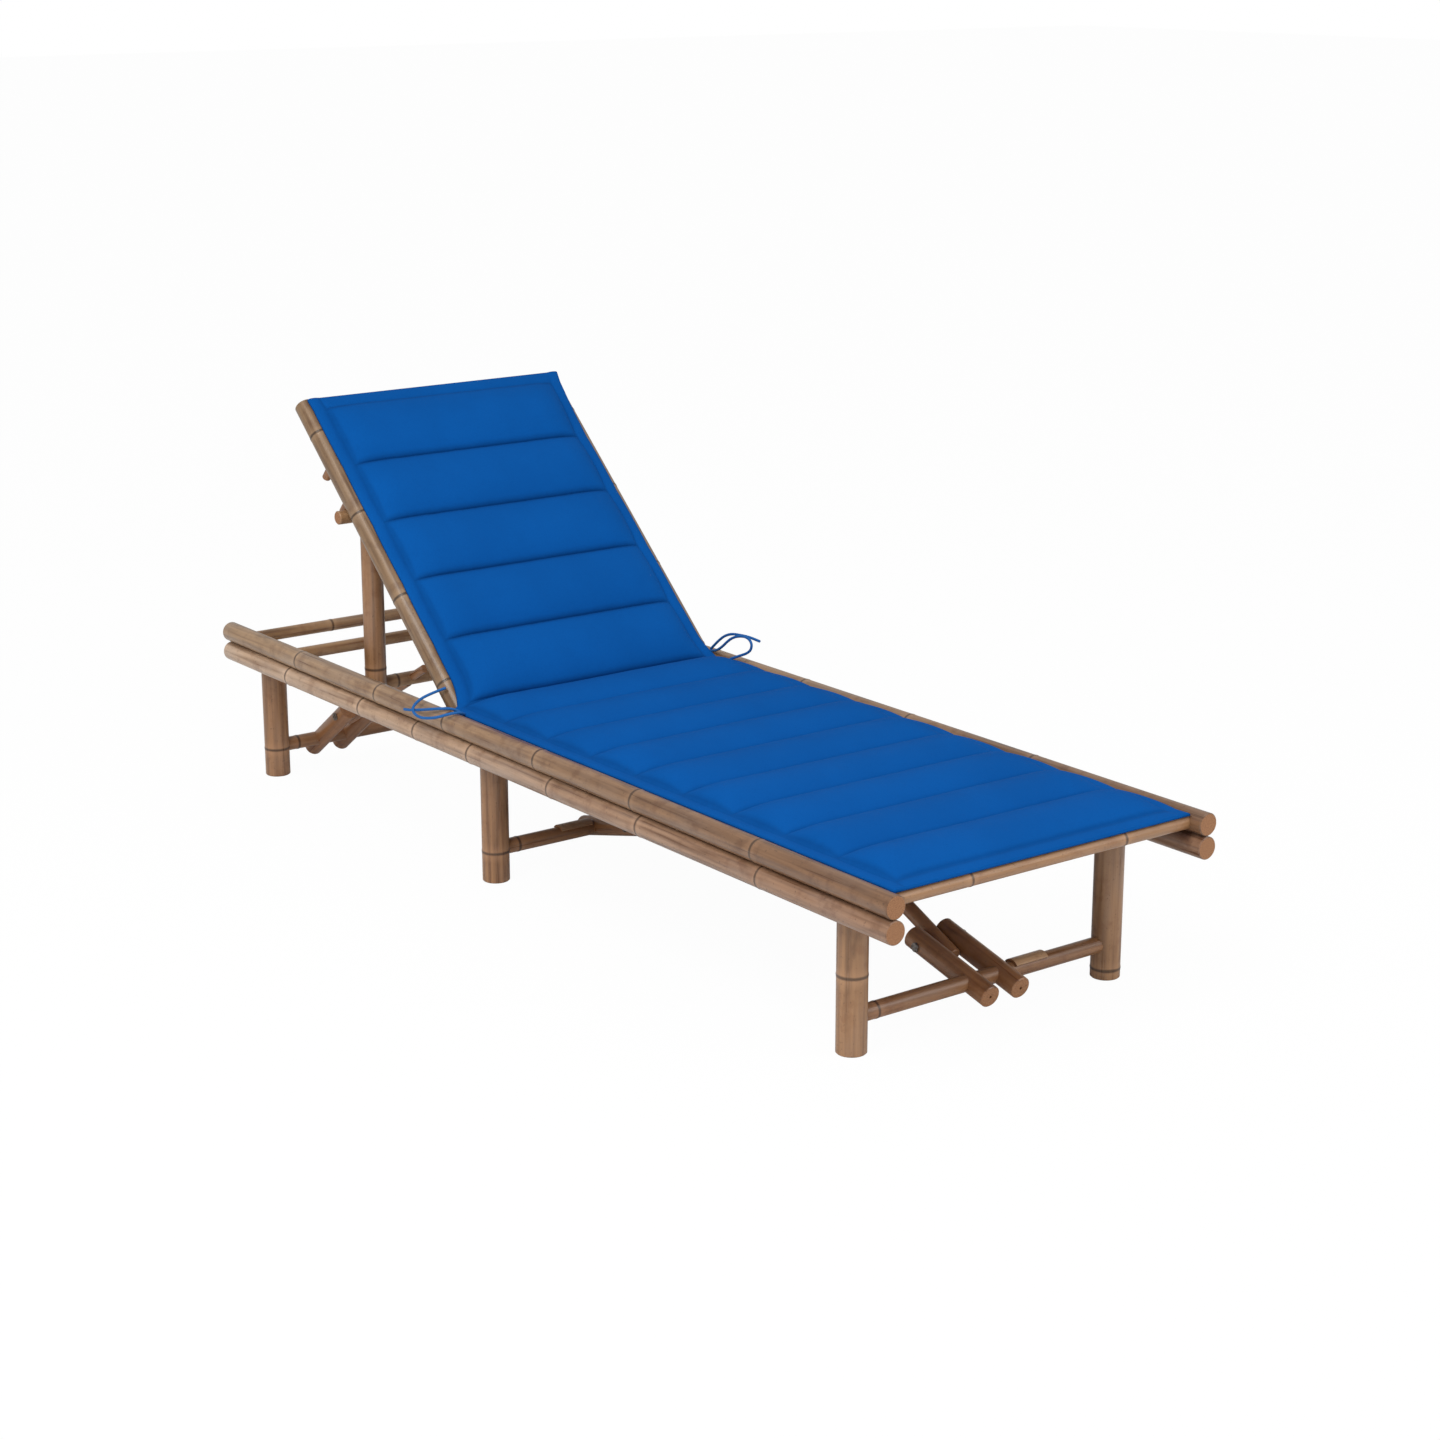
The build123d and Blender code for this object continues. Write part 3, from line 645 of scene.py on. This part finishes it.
# Ties: each strand's length, its far end, and the points of its route over the rails
twist_scale = 600.0
cord_dark = (0.002, 0.085, 0.29)
cord_light = (0.0025, 0.115, 0.39)
cord_shader = Shader("blue_cord")
twist = cord_shader.noise(cord_shader.place, twist_scale, 2.0)
cord_blue = cord_shader.mix(cord_shader.spread(twist, 0.3, 0.7), cord_dark, cord_light)
cord_shader.set(base_color=cord_blue, roughness=0.8)
cord_shader.bump(twist, 0.0004, 0.6)
cord_radius = 0.0025
ties = {
    "tie_right_tail": (
        0.128,
        "bare",
        [
            (-0.188, -0.2957, 0.2992),
            (-0.19, -0.305, 0.3055),
            (-0.2, -0.324, 0.307),
            (-0.23, -0.341, 0.301),
            (-0.265, -0.347, 0.293),
            (-0.29, -0.345, 0.289),
        ],
    ),
    "tie_right_loop": (
        0.212,
        "object",
        [
            (-0.168, -0.2975, 0.2992),
            (-0.161, -0.307, 0.306),
            (-0.163, -0.328, 0.307),
            (-0.184, -0.35, 0.297),
            (-0.222, -0.358, 0.291),
            (-0.25, -0.355, 0.3),
            (-0.263, -0.331, 0.31),
            (-0.262, -0.305, 0.318),
            (-0.248, -0.285, 0.327),
        ],
    ),
    "tie_left_loop": (
        0.217,
        "object",
        [
            (-0.186, 0.292, 0.3017),
            (-0.163, 0.296, 0.312),
            (-0.146, 0.299, 0.319),
            (-0.134, 0.3, 0.328),
            (-0.131, 0.3, 0.34),
            (-0.14, 0.3, 0.3485),
            (-0.156, 0.3, 0.35),
            (-0.182, 0.3, 0.344),
            (-0.202, 0.3, 0.333),
            (-0.222, 0.3, 0.316),
            (-0.242, 0.3, 0.304),
            (-0.262, 0.2995, 0.3005),
        ],
    ),
    "tie_left_tail": (
        0.159,
        "bare",
        [
            (-0.262, 0.304, 0.3036),
            (-0.236, 0.306, 0.329),
            (-0.206, 0.3065, 0.344),
            (-0.173, 0.307, 0.3475),
            (-0.143, 0.307, 0.349),
            (-0.117, 0.307, 0.347),
        ],
    ),
}
for name, (length, far_end, route) in ties.items():
    curve = bpy.data.curves.new(f"cord_{name}", "CURVE")
    curve.dimensions = "3D"
    curve.bevel_depth = cord_radius
    curve.bevel_resolution = 4
    curve.resolution_u = 10
    curve.use_fill_caps = True
    spline = curve.splines.new("NURBS")
    spline.points.add(len(route) - 1)
    for point, place in zip(spline.points, route):
        point.co = (*place, 1.0)
    spline.order_u = 3
    spline.use_endpoint_u = True
    curve.materials.append(cord_shader.material)
    cord = bpy.data.objects.new(f"cord_{name}", curve)
    scene.collection.objects.link(cord)
    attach(cord, "frame")
    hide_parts(name)

# Floor, light and background. The camera sees floor and sky nearly white, and all other rays meet a
# greyer floor and a dimmer sky.
white_colour = (1, 1, 1, 1)
floor_colour = (0.86, 0.86, 0.86, 1)
floor_glow = 0.97
sky_strength = 0.55
seen_sky_strength = 1.0
floor_reach = 30
floor_corners = [(x * floor_reach, y * floor_reach, 0) for x, y in ((-1, -1), (1, -1), (1, 1), (-1, 1))]
floor_mesh = bpy.data.meshes.new("floor")
floor_mesh.from_pydata(floor_corners, [], [(0, 1, 2, 3)])
floor = bpy.data.objects.new("floor", floor_mesh)
scene.collection.objects.link(floor)
paper = bpy.data.materials.new("pale_floor")
paper.use_nodes = True
tree = paper.node_tree
tree.nodes.clear()
floor_out = tree.nodes.new("ShaderNodeOutputMaterial")
matte = tree.nodes.new("ShaderNodeBsdfDiffuse")
matte.inputs["Color"].default_value = floor_colour
glow = tree.nodes.new("ShaderNodeEmission")
glow.inputs["Color"].default_value = white_colour
light_path = tree.nodes.new("ShaderNodeLightPath")
glow_share = tree.nodes.new("ShaderNodeMath")
glow_share.operation = "MULTIPLY"
glow_share.inputs[1].default_value = floor_glow
blend_floor = tree.nodes.new("ShaderNodeMixShader")
tree.links.new(light_path.outputs["Is Camera Ray"], glow_share.inputs[0])
tree.links.new(glow_share.outputs[0], blend_floor.inputs[0])
tree.links.new(matte.outputs[0], blend_floor.inputs[1])
tree.links.new(glow.outputs[0], blend_floor.inputs[2])
tree.links.new(blend_floor.outputs[0], floor_out.inputs["Surface"])
floor_mesh.materials.append(paper)

world = bpy.data.worlds.new("studio")
scene.world = world
world.use_nodes = True
tree = world.node_tree
tree.nodes.clear()
world_out = tree.nodes.new("ShaderNodeOutputWorld")
soft = tree.nodes.new("ShaderNodeBackground")
soft.inputs["Color"].default_value = white_colour
soft.inputs["Strength"].default_value = sky_strength
white = tree.nodes.new("ShaderNodeBackground")
white.inputs["Color"].default_value = white_colour
white.inputs["Strength"].default_value = seen_sky_strength
world_path = tree.nodes.new("ShaderNodeLightPath")
blend_world = tree.nodes.new("ShaderNodeMixShader")
tree.links.new(world_path.outputs["Is Camera Ray"], blend_world.inputs[0])
tree.links.new(soft.outputs[0], blend_world.inputs[1])
tree.links.new(white.outputs[0], blend_world.inputs[2])
tree.links.new(blend_world.outputs[0], world_out.inputs["Surface"])


def area_light(name, place, target, size, power):
    """A square soft box that faces a point."""
    data = bpy.data.lights.new(name, "AREA")
    data.size = size
    data.energy = power
    light = bpy.data.objects.new(name, data)
    light.location = place
    light.rotation_euler = (Vector(target) - Vector(place)).to_track_quat("-Z", "Y").to_euler()
    scene.collection.objects.link(light)


area_light("key", (1.2, -2.6, 3.4), (0, 0, 0.3), 2.6, 120)
area_light("fill", (3.6, 1.6, 2.2), (0.2, 0, 0.3), 2.4, 45)
